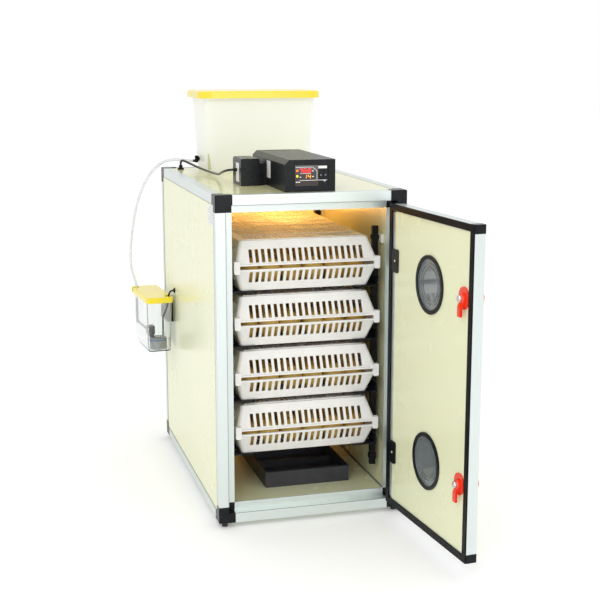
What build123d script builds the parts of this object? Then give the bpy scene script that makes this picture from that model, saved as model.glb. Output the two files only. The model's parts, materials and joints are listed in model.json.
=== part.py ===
from build123d import *
import os
from math import cos, sin, tan, radians

# Egg incubator: a tall insulated cabinet of framed sandwich panels with a hinged front door, a rack
# of four tilting egg trays, a water tank and a control box on the roof and a mist cup on the left wall.
# Millimetres, +X right, +Y to the back, +Z up. The origin is on the floor under the cabinet's centre.
# The door stands open, as it does while the trays are loaded.

# cabinet
WIDTH = 388.0
DEPTH = 640.0
FOOT = 10.0
HEIGHT = 660.0
BAR = 20.0            # square section of the frame
BAR_WALL = 1.6
CORNER_ARM = 33.5     # length of a corner connector's arm from the outer corner
PROUD = 0.6           # how far the corner connectors stand out of the bars
INSET = 0.8           # how far the panels lie below the bars
LIP = 16.0            # width of the door's stop lip
LIP_THICK = 2.5
FEET_X = 180.0
FEET_Y = 306.0
FOOT_R = 6.0

# door, drawn shut and then turned open about the hinge axis
HINGE = (178.0, -327.0)
OPEN = 95.0
DOOR_X = 172.0
DOOR_Z = (31.0, 647.0)
DOOR_Y = (-324.0, -303.5)
GASKET_WIDE = 12.5
GASKET_THICK = 2.7
STILE_HINGE = 24.0
STILE = 14.0
DOOR_CAP = 16.0
HINGE_Z = (144.0, 536.0)
HINGE_TALL = 46.0
BARREL_R = 4.0
PIN_R = 2.0
PORT_X = -4.0
PORT_Z = (172.0, 514.0)
PORT_R = 55.5
PORT_HOLE_R = 49.5
PORT_WALL = 1.5
LATCH_X = -140.0
LATCH_Z = (172.0, 514.0)
SPINDLE_R = 3.5
CAM_LONG = 33.0

# trays and rack
TRAY_LEVELS = (521.5, 409.0, 296.5, 184.0)     # height of each tray's parting line and tilt axis
TRAY_Y = (-285.0, 230.0)
TRAY_HALF = 151.0      # half width at the parting line
TRAY_END_HALF = 133.5  # half width at the tray's bottom and at the lid's top
TRAY_TALL = 50.0       # height of one half
TRAY_SLANT = 27.0      # how far the front and rear walls lean in
TRAY_WALL = 2.2
SLOT_PITCH = 12.7
SLOT_WIDE = 7.0
TRAY_GAP = 7.6         # slit between cover and base at the front and rear
RIB_PITCH = (62.0, 63.0)
RIB_WIDE = 5.0
RIB_TALL = 1.5
GRILLE_PITCH = 10.0
GRILLE_SLOT = 3.6
RAIL_GAP = 0.3
RAIL_THICK = 3.0
RAIL_X = (104.0, 156.0)
PIN_X = 160.0
LINK_PIN_R = 3.0
PIN_FIT = 0.05
LINK_Y = (-225.0, 197.0)
LINK_DEEP = 10.0
LINK_WIDE = 12.0
LINK_Z = (74.0, 588.0)
LINK_COLLARS = ((88.0, 98.0), (560.0, 569.0))
STUB_R = 5.0
POST_Y = (243.0, 300.0)

# on the roof
CONTROL_X = (-49.0, 54.0)
CONTROL_Y = (-290.0, -18.0)
CONTROL_TOP = 732.0
ADAPTER_X = (-106.0, -54.0)
ADAPTER_Y = (-155.0, -80.0)
ADAPTER_TOP = 725.0
TANK_AT = (11.5, 233.0)
TANK_BASE = (246.0, 130.0)
TANK_TOP = (264.0, 160.0)
TANK_LID = (286.0, 182.0)
TANK_Z = 841.0
TANK_WALL = 2.5
ROOF_GLAND = (-158.0, 256.0)
CABLE_D = 5.0
HOSE_D = 6.0
MIST_CABLE_D = 4.0

# mist cup on the left wall
CUP_X = (-257.0, -197.0)
CUP_Y = (156.0, 308.0)
CUP_Z = (257.0, 377.0)
CUP_TURN = 4.5         # the cup hangs a little askew
CUP_OUT = 3.0          # and this far off the wall
CUP_TAPER = 4.0
CUP_WALL = 2.0
MIST_MAKER = (-227.0, 192.0)

# inside
FAN_AT = (-38.0, 596.0)
HOOD_X = (-134.0, 58.0)
HOOD_LEAN = 15.0       # how far its ends lean in towards the bottom
HOOD_Y = (243.0, 299.7)
HOOD_Z = (545.0, 649.7)

# on the control box's front
WINDOW_X = (-28.0, 40.0)
WINDOW_Z = (680.0, 721.0)
BUTTON_R = 2.6
BUTTONS = {"button_up": 24.0, "button_down": 33.5}
BUTTON_Z = 701.5

# where hoses and cables leave and arrive
ADAPTER_CABLE_AT = (-118.0, 700.0)
ELBOW_Y = 258.0
ELBOW_Z = 694.0
WALL_GLAND = (166.0, 398.0)
HOSE_END = (-248.5, 300.0, 357.0)      # before the cup is turned

# Routes are lists of points; the tube turns at each with an arc.
ADAPTER_ROUTE = [(-114, -118, 700), (-124, -118, 700), (-131, -98, 695), (-128, -58, 688), (-119, 0, 680),
                 (-116, 58, 676), (-121, 120, 676.5), (-131, 176, 680), (-143, 219, 686), (-152, 242, 690.5),
                 (-158, 256, 691), (-158, 256, 679.3)]
HOSE_ROUTE = [(-128.7, 258, 689), (-138, 258, 689), (-151, 266, 691), (-170, 274, 691.5), (-190, 276, 689),
              (-211, 277, 677), (-231, 281, 655), (-248, 285, 622), (-262, 290, 577), (-271, 295, 524),
              (-276, 299, 470), (-275, 299, 426), (-262.6, 295.5, 394), (-262.6, 295.5, 357.1)]
MIST_ROUTE = [(-197.3, 166, 398), (-201, 166, 398), (-206, 167, 393), (-208, 168, 384), (-209, 170, 368),
              (-213, 174, 352), (-220.1, 179, 336), (-220.1, 182.5, 318), (-220.1, 182.5, 297.1)]

# worked out
HX = WIDTH / 2
HY = DEPTH / 2
TOP = FOOT + HEIGHT
IN_X = HX - BAR
IN_Y = HY - BAR
FLOOR_Z = FOOT + BAR
CEILING_Z = TOP - BAR
ROOF_Z = TOP - INSET
TANK_LEFT = TANK_AT[0] - TANK_BASE[0] / 2 - 1.2
LIP_Y = (-IN_Y, -IN_Y + LIP_THICK)
SIDES = (-1, 1)


def block(x, y, z):
    """A box between two limits on each axis."""
    size = [limits[1] - limits[0] for limits in (x, y, z)]
    middle = [(limits[0] + limits[1]) / 2 for limits in (x, y, z)]
    return Pos(*middle) * Box(*size)


def rod(start, axis, radius, length):
    """A cylinder from a point along an axis."""
    base = (Align.CENTER, Align.CENTER, Align.MIN)
    return Location(Plane(origin=start, z_dir=axis)) * Cylinder(radius, length, align=base)


def both(low, high):
    """Limits in rising order."""
    return (min(low, high), max(low, high))


def prism(points, plane, depth):
    """A solid from a closed outline on a plane."""
    return extrude(plane * make_face(Polyline(*points, close=True)), depth)


def tapered(centre, low_z, high_z, low_size, high_size, corner):
    """A rounded rectangular body that widens from its base to its top."""
    low = Pos(*centre, low_z) * RectangleRounded(*low_size, corner)
    high = Pos(*centre, high_z) * RectangleRounded(*high_size, corner)
    return loft([low, high])


def save(name, *shapes):
    """Write one sub-part, one solid or several, as a STEP file."""
    solids = [solid for shape in shapes for solid in shape.solids()]
    export_step(solids[0] if len(solids) == 1 else Compound(solids), f"parts/{name}.step")


def opened(shape):
    """The shut door's shape, turned open about the hinge axis."""
    return Pos(*HINGE, 0) * Rot(0, 0, OPEN) * Pos(-HINGE[0], -HINGE[1], 0) * shape


def hung(shape):
    """The squarely drawn cup and its fittings, turned and set off the wall."""
    x, y = CUP_X[1], CUP_Y[0]
    return Pos(x - CUP_OUT, y, 0) * Rot(0, 0, CUP_TURN) * Pos(-x, -y, 0) * shape


def cord(name, points, diameter):
    """A tube of straight runs joined by arcs as large as the runs allow."""
    points = [Vector(*point) for point in points]
    radii = []
    for before, at, after in zip(points, points[1:], points[2:]):
        turn = (at - before).get_angle(after - at)
        radii.append(0.45 * min((at - before).length, (after - at).length) / tan(radians(turn / 2)))
    path = FilletPolyline(*points, radius=radii)
    tube = sweep(Plane(origin=path @ 0, z_dir=path % 0) * Circle(diameter / 2), path)
    print(f"{name}: {path.length:.0f} mm long, tightest arc {min(radii):.1f} mm")
    return tube


# ---------------------------------------------------------------- cabinet frame


def bar_x(y, z):
    outer = block((-HX + CORNER_ARM, HX - CORNER_ARM), (y - BAR / 2, y + BAR / 2), (z - BAR / 2, z + BAR / 2))
    inner = BAR / 2 - BAR_WALL
    return outer - block((-HX, HX), (y - inner, y + inner), (z - inner, z + inner))


def bar_y(x, z):
    outer = block((x - BAR / 2, x + BAR / 2), (-HY + CORNER_ARM, HY - CORNER_ARM), (z - BAR / 2, z + BAR / 2))
    inner = BAR / 2 - BAR_WALL
    return outer - block((x - inner, x + inner), (-HY, HY), (z - inner, z + inner))


def bar_z(x, y):
    tall = (FOOT + CORNER_ARM, TOP - CORNER_ARM)
    outer = block((x - BAR / 2, x + BAR / 2), (y - BAR / 2, y + BAR / 2), tall)
    inner = BAR / 2 - BAR_WALL
    return outer - block((x - inner, x + inner), (y - inner, y + inner), (0, TOP))


def lip_post(side):
    across = both(side * (IN_X + BAR_WALL), side * (IN_X - LIP))
    return block(across, LIP_Y, (FLOOR_Z + LIP, CEILING_Z - LIP))


def lip_rail(level):
    inner = FLOOR_Z if level < 0 else CEILING_Z
    limits = both(inner + level * BAR_WALL, inner - level * LIP)
    return block((-IN_X + LIP, IN_X - LIP), LIP_Y, limits)


def lip_corner(side, level):
    inner = FLOOR_Z if level < 0 else CEILING_Z
    across = both(side * (IN_X + BAR_WALL), side * (IN_X - LIP))
    return block(across, LIP_Y, both(inner + level * BAR_WALL, inner - level * LIP))


def frame_profiles():
    rails = []
    middle = BAR / 2
    for x in (-HX + middle, HX - middle):
        rails.append(bar_z(x, -HY + middle))
        rails.append(lip_post(1 if x > 0 else -1))
        rails.append(bar_z(x, HY - middle))
        rails.append(bar_y(x, FOOT + middle))
        rails.append(bar_y(x, TOP - middle))
    for level, z in ((-1, FOOT + middle), (1, TOP - middle)):
        rails.append(bar_x(-HY + middle, z))
        rails.append(lip_rail(level))
        rails.append(bar_x(HY - middle, z))
    return rails


def corner_connector(side, end, level):
    """Three arms that meet at one corner, each with a plug inside its hollow bar."""
    arm = CORNER_ARM
    corner = (side * HX, end * HY, TOP if level > 0 else FOOT)
    signs = (side, end, level)
    limits = []
    for value, sign in zip(corner, signs):
        near = both(value + sign * PROUD, value - sign * BAR)
        far = both(value + sign * PROUD, value - sign * arm)
        plug = both(value - sign * (BAR_WALL + 0.4), value - sign * (BAR - BAR_WALL - 0.4))
        reach = both(value - sign * BAR, value - sign * (arm + 12))
        limits.append((near, far, plug, reach))
    (nx, fx, px, rx), (ny, fy, py, ry), (nz, fz, pz, rz) = limits
    shape = block(fx, ny, nz) + block(nx, fy, nz) + block(nx, ny, fz)
    outer = Vector(corner[0] + side * PROUD, corner[1] + end * PROUD, corner[2] + level * PROUD)
    shape = fillet([edge for edge in shape.edges() if edge.distance_to(outer) < 0.01], 2.5)
    shape += block(rx, py, pz) + block(px, ry, pz) + block(px, py, rz)
    if end < 0:
        shape += lip_corner(side, level)
    return shape


def corner_connectors():
    return [corner_connector(side, end, level) for side in SIDES for end in SIDES for level in SIDES]


def side_panel(side):
    across = both(side * IN_X, side * (HX - INSET))
    panel = block(across, (-IN_Y, IN_Y), (FLOOR_Z, CEILING_Z)) - lip_post(side)
    for level in SIDES:
        panel -= lip_corner(side, level)
    if side < 0:
        # the mist port, inside the cup's open back
        panel -= rod((-HX - 1, 240, 350), (1, 0, 0), 9, BAR + 2)
    return panel


def level_panel(level):
    tall = (CEILING_Z, ROOF_Z) if level > 0 else (FOOT + INSET, FLOOR_Z)
    panel = block((-IN_X, IN_X), (-IN_Y, IN_Y), tall) - lip_rail(level)
    for side in SIDES:
        panel -= lip_corner(side, level)
    if level > 0:
        panel -= rod((*ROOF_GLAND, CEILING_Z - 1), (0, 0, 1), 4, BAR + 2)
        panel -= rod((0, -60, CEILING_Z - 1), (0, 0, 1), 8, BAR + 2)
    return panel


def rear_panel():
    return block((-IN_X, IN_X), (IN_Y, HY - INSET), (FLOOR_Z, CEILING_Z))


def feet():
    return [rod((x * FEET_X, y * FEET_Y, 0), (0, 0, 1), FOOT_R, FOOT - PROUD) for x in SIDES for y in SIDES]


# ---------------------------------------------------------------- door


def knuckle(z, tall):
    return rod((*HINGE, z), (0, 0, 1), BARREL_R, tall)


def hinge_frame_leaf(z):
    """The frame's leaf with an upper and a lower knuckle and the fixed pin."""
    low = z - HINGE_TALL / 2
    third = HINGE_TALL / 4
    leaf = block((HINGE[0], HX - 1), (-HY - 2 - PROUD, -HY), (low, low + HINGE_TALL))
    for start in (low, low + HINGE_TALL - third):
        leaf += knuckle(start, third)
        leaf += block((HINGE[0], HINGE[0] + BARREL_R), (HINGE[1], -HY), (start, start + third))
    return leaf + rod((*HINGE, low), (0, 0, 1), PIN_R, HINGE_TALL)


def hinge_door_leaf(z):
    """The door's leaf with the middle knuckle, which turns on the pin, and the plate inside the door."""
    low = z - HINGE_TALL / 2
    start = low + HINGE_TALL / 4 + 0.3
    tall = HINGE_TALL / 2 - 0.6
    leaf = block((DOOR_X - 22, DOOR_X), (DOOR_Y[0] - 2, DOOR_Y[0]), (low, low + HINGE_TALL))
    leaf += block((DOOR_X - 2, HINGE[0]), (HINGE[1], DOOR_Y[0]), (start, start + tall))
    leaf += knuckle(start, tall)
    leaf -= rod((*HINGE, low), (0, 0, 1), PIN_R + PIN_FIT, HINGE_TALL)
    right = DOOR_X - GASKET_WIDE - 0.5
    plate = block((right - 27, right), (DOOR_Y[1], DOOR_Y[1] + 2.5), (low, low + HINGE_TALL))
    plate = fillet(plate.edges().filter_by(Axis.Y), 5)
    return [leaf, plate]


def door_profiles():
    """Four bars around the door panel; the one beside the hinges is wider."""
    low, high = DOOR_Z
    inner = (-DOOR_X + STILE, DOOR_X - STILE_HINGE)
    stiles = [block((-DOOR_X, inner[0]), DOOR_Y, (low + DOOR_CAP, high - DOOR_CAP)),
              block((inner[1], DOOR_X), DOOR_Y, (low + DOOR_CAP, high - DOOR_CAP))]
    cross = (-DOOR_X + DOOR_CAP, DOOR_X - DOOR_CAP)
    rails = [block(cross, DOOR_Y, (low, low + STILE)), block(cross, DOOR_Y, (high - STILE, high))]
    rails = [rail - block((inner[1], DOOR_X), DOOR_Y, (low + DOOR_CAP, high - DOOR_CAP)) for rail in rails]
    return stiles + rails


def door_corners():
    caps = []
    for side in SIDES:
        for start, sign in ((DOOR_Z[0], -1), (DOOR_Z[1], 1)):
            across = both(side * (DOOR_X + 0.4), side * (DOOR_X - DOOR_CAP))
            tall = both(start + sign * 0.4, start - sign * DOOR_CAP)
            caps.append(block(across, (DOOR_Y[0] - 0.4, DOOR_Y[1]), tall))
    return caps


def port_hole(z, radius):
    return rod((PORT_X, DOOR_Y[0] - 10, z), (0, 1, 0), radius, 40)


def door_panel():
    low, high = DOOR_Z
    across = (-DOOR_X + STILE, DOOR_X - STILE_HINGE)
    panel = block(across, (DOOR_Y[0] + 0.6, DOOR_Y[1] - 0.3), (low + STILE, high - STILE))
    corners = [(-DOOR_X, side_z) for side_z in DOOR_Z] + [(DOOR_X, side_z) for side_z in DOOR_Z]
    for x, z in corners:
        panel -= Pos(x, (DOOR_Y[0] + DOOR_Y[1]) / 2, z) * Box(2 * DOOR_CAP, 40, 2 * DOOR_CAP)
    for z in PORT_Z:
        panel -= port_hole(z, PORT_HOLE_R)
    for z in LATCH_Z:
        panel -= rod((LATCH_X, DOOR_Y[0] - 1, z), (0, 1, 0), SPINDLE_R + 2, 30)
    return panel


def door_gasket():
    across = block((-DOOR_X, DOOR_X), (DOOR_Y[1], DOOR_Y[1] + GASKET_THICK), DOOR_Z)
    wide = GASKET_WIDE
    tall = (DOOR_Z[0] + wide, DOOR_Z[1] - wide)
    return across - block((-DOOR_X + wide, DOOR_X - wide), (DOOR_Y[1] - 1, 0), tall)


def porthole_ring(z):
    """A black trim ring on the inner face with a sleeve through the door and a flange outside."""
    inner, outer = DOOR_Y[1] - 0.3, DOOR_Y[0] + 0.6
    ring = rod((PORT_X, inner, z), (0, 1, 0), PORT_R, 2.8)
    ring += rod((PORT_X, outer - 2.4, z), (0, 1, 0), PORT_R, 2.4)
    ring += rod((PORT_X, outer - 2.4, z), (0, 1, 0), PORT_HOLE_R, inner - outer + 4)
    return ring - port_hole(z, PORT_HOLE_R - PORT_WALL)


def porthole_glass(z):
    """Two clear panes: a flat one with raised rings just inside, and one that domes outwards."""
    edge = PORT_HOLE_R - PORT_WALL - 0.05
    face = DOOR_Y[1] - 1
    inner = rod((PORT_X, face - 3, z), (0, 1, 0), edge, 3)
    for radius in (edge, edge - 8, edge - 15):
        ring = rod((PORT_X, face, z), (0, 1, 0), radius, 1.6)
        inner += ring - rod((PORT_X, face - 1, z), (0, 1, 0), radius - 2.5, 4)
    bowl = 86.0
    centre = DOOR_Y[0] + 2 + bowl - 6
    dome = rod((PORT_X, DOOR_Y[0] + 2, z), (0, 1, 0), edge, 4)
    outer = Pos(PORT_X, centre, z) * Sphere(bowl)
    hollow = Pos(PORT_X, centre, z) * Sphere(bowl - 3)
    dome += outer & rod((PORT_X, DOOR_Y[0] - 8, z), (0, 1, 0), edge - 8, 12)
    dome -= hollow & rod((PORT_X, DOOR_Y[0] - 8, z), (0, 1, 0), edge - 11, 40)
    return [inner, dome]


def latch_base(z):
    """The oval plates inside and outside the door that carry the latch's spindle."""
    plates = []
    for y, thick in ((DOOR_Y[1] - 0.3, 3.0), (DOOR_Y[0] + 0.6 - 3.0, 3.0)):
        oval = Pos(LATCH_X, y + thick, z) * Rot(90, 0, 0) * extrude(SlotOverall(41, 34, rotation=90), thick)
        plates.append(oval)
    barrel = rod((LATCH_X, DOOR_Y[0], z), (0, 1, 0), SPINDLE_R + 1.8, DOOR_Y[1] - DOOR_Y[0])
    shape = plates[0] + plates[1] + barrel
    return shape - rod((LATCH_X, DOOR_Y[0] - 9, z), (0, 1, 0), SPINDLE_R + PIN_FIT, 60)


def latch_cam(z):
    """The hub, the bent cam that catches behind the lip, and the bolt that holds them."""
    inside = DOOR_Y[1] - 0.3 + 3.0
    hub = rod((LATCH_X, inside + 0.2, z), (0, 1, 0), 9.5, 5.5)
    hub = fillet(hub.edges().group_by(Axis.Y)[-1], 2.5)
    profile = [(inside + 0.6, -3), (inside + 0.6, -11), (inside + 3.8, -17), (inside + 3.8, -CAM_LONG),
               (inside + 8.6, -CAM_LONG), (inside + 8.6, -15), (inside + 5.6, -8), (inside + 5.6, -3)]
    plane = Plane(origin=(LATCH_X, 0, z), x_dir=(0, 1, 0), z_dir=(-1, 0, 0))
    arm = prism([(y, -up) for y, up in profile], plane, 5.5)
    arm += prism([(y, -up) for y, up in profile], plane, -5.5)
    if arm.center().Z > z:
        arm = mirror(arm, Plane(origin=(0, 0, z), z_dir=(0, 0, 1)))
    shape = hub + arm
    hole = rod((LATCH_X, inside - 1, z), (0, 1, 0), SPINDLE_R, 30)
    return shape - hole


def latch_knob(z):
    """The outside handle with the spindle that runs through the door and the nut inside."""
    outside = DOOR_Y[0] + 0.6 - 3.0
    inside = DOOR_Y[1] - 0.3 + 3.0
    knob = rod((LATCH_X, outside - 0.2, z), (0, -1, 0), 12, 10)
    knob += block((LATCH_X - 6, LATCH_X + 6), (outside - 10.2, outside - 2.2), (z - 8, z + 34))
    knob = fillet(knob.edges().filter_by(Axis.Y), 2)
    spindle = rod((LATCH_X, outside - 2, z), (0, 1, 0), SPINDLE_R, inside + 10.5 - outside + 2)
    nut = Pos(LATCH_X, inside + 10, z) * Rot(90, 0, 0) * extrude(RegularPolygon(6, 6), 4.2)
    return knob + spindle + nut


# ---------------------------------------------------------------- trays and rack


def tray_hull(z, level, shrink):
    """Half a tray's outer or inner hull, from the parting line up (level 1) or down (level -1)."""
    middle = (TRAY_Y[0] + TRAY_Y[1]) / 2
    long = TRAY_Y[1] - TRAY_Y[0]
    wide = (2 * (TRAY_HALF - 2 - shrink), long - 4 - 2 * shrink)
    narrow = (2 * (TRAY_END_HALF - shrink), long - 2 * TRAY_SLANT - 2 * shrink)
    end = z + level * (TRAY_TALL - (TRAY_WALL if shrink else 0))
    if level > 0:
        return tapered((0, middle), z, end, wide, narrow, 8)
    return tapered((0, middle), end, z, narrow, wide, 8)


def tray_walls(level):
    """Half a tray's slotted walls and closed end, with its rim at the parting line."""
    shape = tray_hull(0, level, 0) - tray_hull(0, level, TRAY_WALL)
    middle = (TRAY_Y[0] + TRAY_Y[1]) / 2
    long = TRAY_Y[1] - TRAY_Y[0]
    rim = Pos(0, middle, level * 0.15) * extrude(RectangleRounded(2 * TRAY_HALF, long, 9), level * 3)
    hole = Pos(0, middle, -5) * extrude(RectangleRounded(2 * TRAY_HALF - 8.4, long - 8.4, 7), 10)
    shape = shape - block((-200, 200), (-400, 400), both(level * 0.15, -level)) + (rim - hole)
    slit = both(level * TRAY_GAP / 2, -level)
    flange = both(level * TRAY_GAP / 2, level * (TRAY_GAP / 2 + 2.6))
    for y, inwards in ((TRAY_Y[0], 1), (TRAY_Y[1], -1)):
        shape -= block((-139, 139), both(y - inwards, y + 12 * inwards), slit)
        shape += block((-141, 141), both(y, y + 4.2 * inwards), flange)
    tall = both(level * 9, level * 34) if level > 0 else both(level * 10, level * 32)
    cutters = []
    for index in range(19):
        x = (index - 9) * SLOT_PITCH
        cutters.append(block((x - SLOT_WIDE / 2, x + SLOT_WIDE / 2), (TRAY_Y[0] - 1, TRAY_Y[1] + 1), tall))
    for index in range(34):
        y = middle + (index - 16.5) * SLOT_PITCH
        cutters.append(block((-TRAY_HALF, TRAY_HALF), (y - SLOT_WIDE / 2, y + SLOT_WIDE / 2), tall))
    return shape - cutters


def grille(level):
    """Cutters for the long slots in a half's end, and the ribs that cross them."""
    middle = (TRAY_Y[0] + TRAY_Y[1]) / 2
    wide, long = RIB_PITCH
    reach = 3.5 * long
    end = both(level * (TRAY_TALL - TRAY_WALL - 1), level * (TRAY_TALL + 1))
    slots = []
    for column in range(4):
        for slot in range(5):
            x = (column - 1.5) * wide + (slot - 2) * GRILLE_PITCH
            across = (x - GRILLE_SLOT / 2, x + GRILLE_SLOT / 2)
            slots.append(block(across, (middle - reach, middle + reach), end))
    # outside on the cover, inside on the base, which rests on its flat bottom
    root = TRAY_TALL - 0.1 if level > 0 else TRAY_TALL - TRAY_WALL - RIB_TALL
    tall = both(level * root, level * (root + RIB_TALL + 0.1))
    ribs = []
    for row in range(8):
        y = middle + (row - 3.5) * long
        ribs.append(block((-1.5 - 2 * wide, 1.5 + 2 * wide), (y - RIB_WIDE / 2, y + RIB_WIDE / 2), tall))
    for x in (-wide, 0, wide):
        ribs.append(block((x - RIB_WIDE / 2, x + RIB_WIDE / 2), (middle - reach, middle + reach), tall))
    return slots, ribs


def tray_half(level):
    """A thin basket about the parting line at Z 0; the cover has clips at its corners."""
    slots, ribs = grille(level)
    shape = tray_walls(level) - slots
    for rib in ribs:
        shape += rib
    if level > 0:
        for side in SIDES:
            # the rear clips stand further in, clear of the carrier's ears
            for y, inwards, edge in ((TRAY_Y[0], 1, TRAY_HALF), (TRAY_Y[1], -1, TRAY_HALF - 6)):
                across = both(side * (edge - 12), side * edge)
                clip = block(across, both(y - 2.2 * inwards, y - 0.15 * inwards), (-12, 13))
                clip += block(across, both(y - 2.2 * inwards, y + 9 * inwards), (0.2, 13))
                shape += fillet(clip.edges().filter_by(Axis.Y).group_by(Axis.Z)[0], 3)
    return shape


def carrier(z):
    """A tray's cradle: two side rails, cross strips, four ears with pins and the rear pivot stub."""
    top = z - TRAY_TALL - RAIL_GAP
    low = top - RAIL_THICK
    rail_y = (-262.0, 232.0)
    shape = None
    for side in SIDES:
        flat = block(both(side * RAIL_X[0], side * RAIL_X[1]), rail_y, (low, top))
        wall = block(both(side * (RAIL_X[1] - 3), side * RAIL_X[1]), rail_y, (low, low + 17))
        rail = flat + wall
        for y in LINK_Y:
            rail -= block(both(side * 137, side * 175), (y - 9, y + 9), (low - 1, low + 20))
        for y in LINK_Y:
            outline = [(141, low - z), (157, low - z), (165, -8), (165, 6), (154, 6), (152, -12), (144, -44),
                       (141, -44)]
            plane = Plane(origin=(0, y + 5.5, z), x_dir=(1, 0, 0), z_dir=(0, -1, 0))
            rail += prism([(side * x, up) for x, up in outline], plane, -3)
            rail += block(both(side * 136, side * 156), (y + 5.5, y + 12.5), (low, top))
            rail += rod((side * PIN_X, y + 8.5, z), (0, -1, 0), LINK_PIN_R, 8.5 + LINK_DEEP / 2 + 1.5)
        shape = rail if shape is None else shape + rail
    for y in (-236.0, -27.0, 200.0):
        shape += block((-RAIL_X[0] - 2, RAIL_X[0] + 2), (y, y + 32), (low, top))
    shape += block((-40, 40), (230, 236), (low, top))
    shape += block((-40, 40), (233, 236), (low, z + 12))
    shape += rod((0, 234, z), (0, 1, 0), STUB_R, 40)
    return shape


def link_bar(side):
    """A front and a rear upright with collars, bored for the carriers' pins."""
    half = LINK_WIDE / 2
    across = both(side * (PIN_X - half), side * (PIN_X + half))
    collar = both(side * (PIN_X - half - 1.5), side * (PIN_X + half + 1))
    bars = []
    for y in LINK_Y:
        bar = block(across, (y - LINK_DEEP / 2, y + LINK_DEEP / 2), LINK_Z)
        for tall in LINK_COLLARS:
            bar += block(collar, (y - 7, y + 7), tall)
        for z in TRAY_LEVELS:
            bar -= rod((side * PIN_X, y - 10, z), (0, 1, 0), LINK_PIN_R + PIN_FIT, 20)
        bars.append(bar)
    return bars


def rear_post():
    post = block((-15, 15), POST_Y, (220, 538))
    for z in TRAY_LEVELS[:3]:
        post -= rod((0, POST_Y[0] - 1, z), (0, 1, 0), STUB_R + PIN_FIT, 34)
    return post


def turning_motor():
    """The gearbox that holds the lowest pivot stub, with its motor can beside it."""
    z = TRAY_LEVELS[3]
    box = block((-30, 30), POST_Y, (z - 32, z + 32))
    box = fillet(box.edges().filter_by(Axis.Y), 4)
    box += rod((29, 274, z), (1, 0, 0), 18, 52)
    return box - rod((0, POST_Y[0] - 1, z), (0, 1, 0), STUB_R + PIN_FIT, 34)


# ---------------------------------------------------------------- inside the cabinet


def fan_housing():
    """A hood under the roof at the back, open below, with the motor's bearing boss inside."""
    x, z = FAN_AT
    wall = 3

    def outline(off):
        low, high = HOOD_X[0] + off, HOOD_X[1] - off
        return [(low + HOOD_LEAN, HOOD_Z[0] - off), (high - HOOD_LEAN, HOOD_Z[0] - off),
                (high, HOOD_Z[1] - off), (low, HOOD_Z[1] - off)]

    front = Plane(origin=(0, HOOD_Y[0], 0), x_dir=(1, 0, 0), z_dir=(0, -1, 0))
    inside = Plane(origin=(0, HOOD_Y[0] + wall, 0), x_dir=(1, 0, 0), z_dir=(0, -1, 0))
    shell = prism(outline(0), front, HOOD_Y[0] - HOOD_Y[1])
    shell -= prism(outline(wall), inside, HOOD_Y[0] - HOOD_Y[1] + 2 * wall)
    shell -= rod((x, HOOD_Y[0] - 1, z), (0, 1, 0), 42, 6)
    shell += rod((x, HOOD_Y[1] - 20, z), (0, 1, 0), 15, 19)
    return shell - rod((x, HOOD_Y[1] - 30, z), (0, 1, 0), 3 + PIN_FIT, 24)


def fan_rotor():
    x, z = FAN_AT
    hub = rod((x, HOOD_Y[0] + 6, z), (0, 1, 0), 12, 22) + rod((x, HOOD_Y[0] + 20, z), (0, 1, 0), 3, 26)
    blade = Pos(x, HOOD_Y[0] + 17, z + 24) * Rot(0, 0, 55) * Box(16, 2, 28)
    turn = Pos(x, 0, z)
    for index in range(5):
        hub += turn * Rot(0, index * 72, 0) * Pos(-x, 0, -z) * blade
    return hub


def heater_element():
    """A tubular ring heater behind the fan, on two legs that run into the rear panel's face."""
    x, z = FAN_AT
    y = HOOD_Y[1] - 11
    ring = Pos(x, y, z) * Rot(90, 0, 0) * Torus(33, 3.5)
    for angle in (0, 180):
        foot = (x + 33 * cos(radians(angle)), y, z + 33 * sin(radians(angle)))
        ring += rod(foot, (0, 1, 0), 3, 8)
    return ring


def temperature_sensor():
    """A probe that hangs from the ceiling on a small clip."""
    probe = rod((-110, -60, CEILING_Z - 22), (0, 0, 1), 4, 20)
    return probe + block((-118, -102), (-66, -54), (CEILING_Z - 5, CEILING_Z))


def rack_guides():
    """White blocks on the right wall that keep the link bars off it."""
    guides = []
    for y in LINK_Y:
        guide = block((IN_X - 6, IN_X), (y - 15, y + 17), (553, 571))
        guides.append(fillet(guide.edges().filter_by(Axis.Y).group_by(Axis.X)[0], 3))
    return guides


def floor_pan():
    """A shallow drip pan with three low dividers."""
    x, y, z = (-67.0, 117.0), (-195.0, 60.0), (FLOOR_Z, 64.0)
    pan = block(x, y, z) - block((x[0] + 2.5, x[1] - 2.5), (y[0] + 2.5, y[1] - 2.5), (z[0] + 2.5, z[1] + 1))
    for index in (1, 2, 3):
        at = y[0] + (y[1] - y[0]) * index / 4
        pan += block((x[0] + 1, x[1] - 1), (at - 1.25, at + 1.25), (z[0] + 1, z[0] + 16))
    return pan


# ---------------------------------------------------------------- roof


def control_section(wall, y, depth):
    """The control box's section, bevelled at its upper left edge, drawn from y towards the front."""
    low, high = CONTROL_X
    bevel = 9 + 0.4 * wall
    outline = [(low + wall, ROOF_Z + wall), (high - wall, ROOF_Z + wall), (high - wall, CONTROL_TOP - wall),
               (low + bevel, CONTROL_TOP - wall), (low + wall, CONTROL_TOP - bevel)]
    return prism(outline, Plane(origin=(0, y, 0), x_dir=(1, 0, 0), z_dir=(0, -1, 0)), depth)


def control_box_shell():
    """A folded black box, open in front, with vents in its top."""
    low = CONTROL_X[0]
    y0, y1 = CONTROL_Y
    shell = control_section(0, y1, y1 - y0 - 4) - control_section(2, y1 - 2, y1 - y0)
    for index in range(8):
        x = low + 26 + index * 7
        shell -= block((x, x + 3), (y1 - 26, y1 - 8), (CONTROL_TOP - 5, CONTROL_TOP + 1))
    return shell


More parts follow.
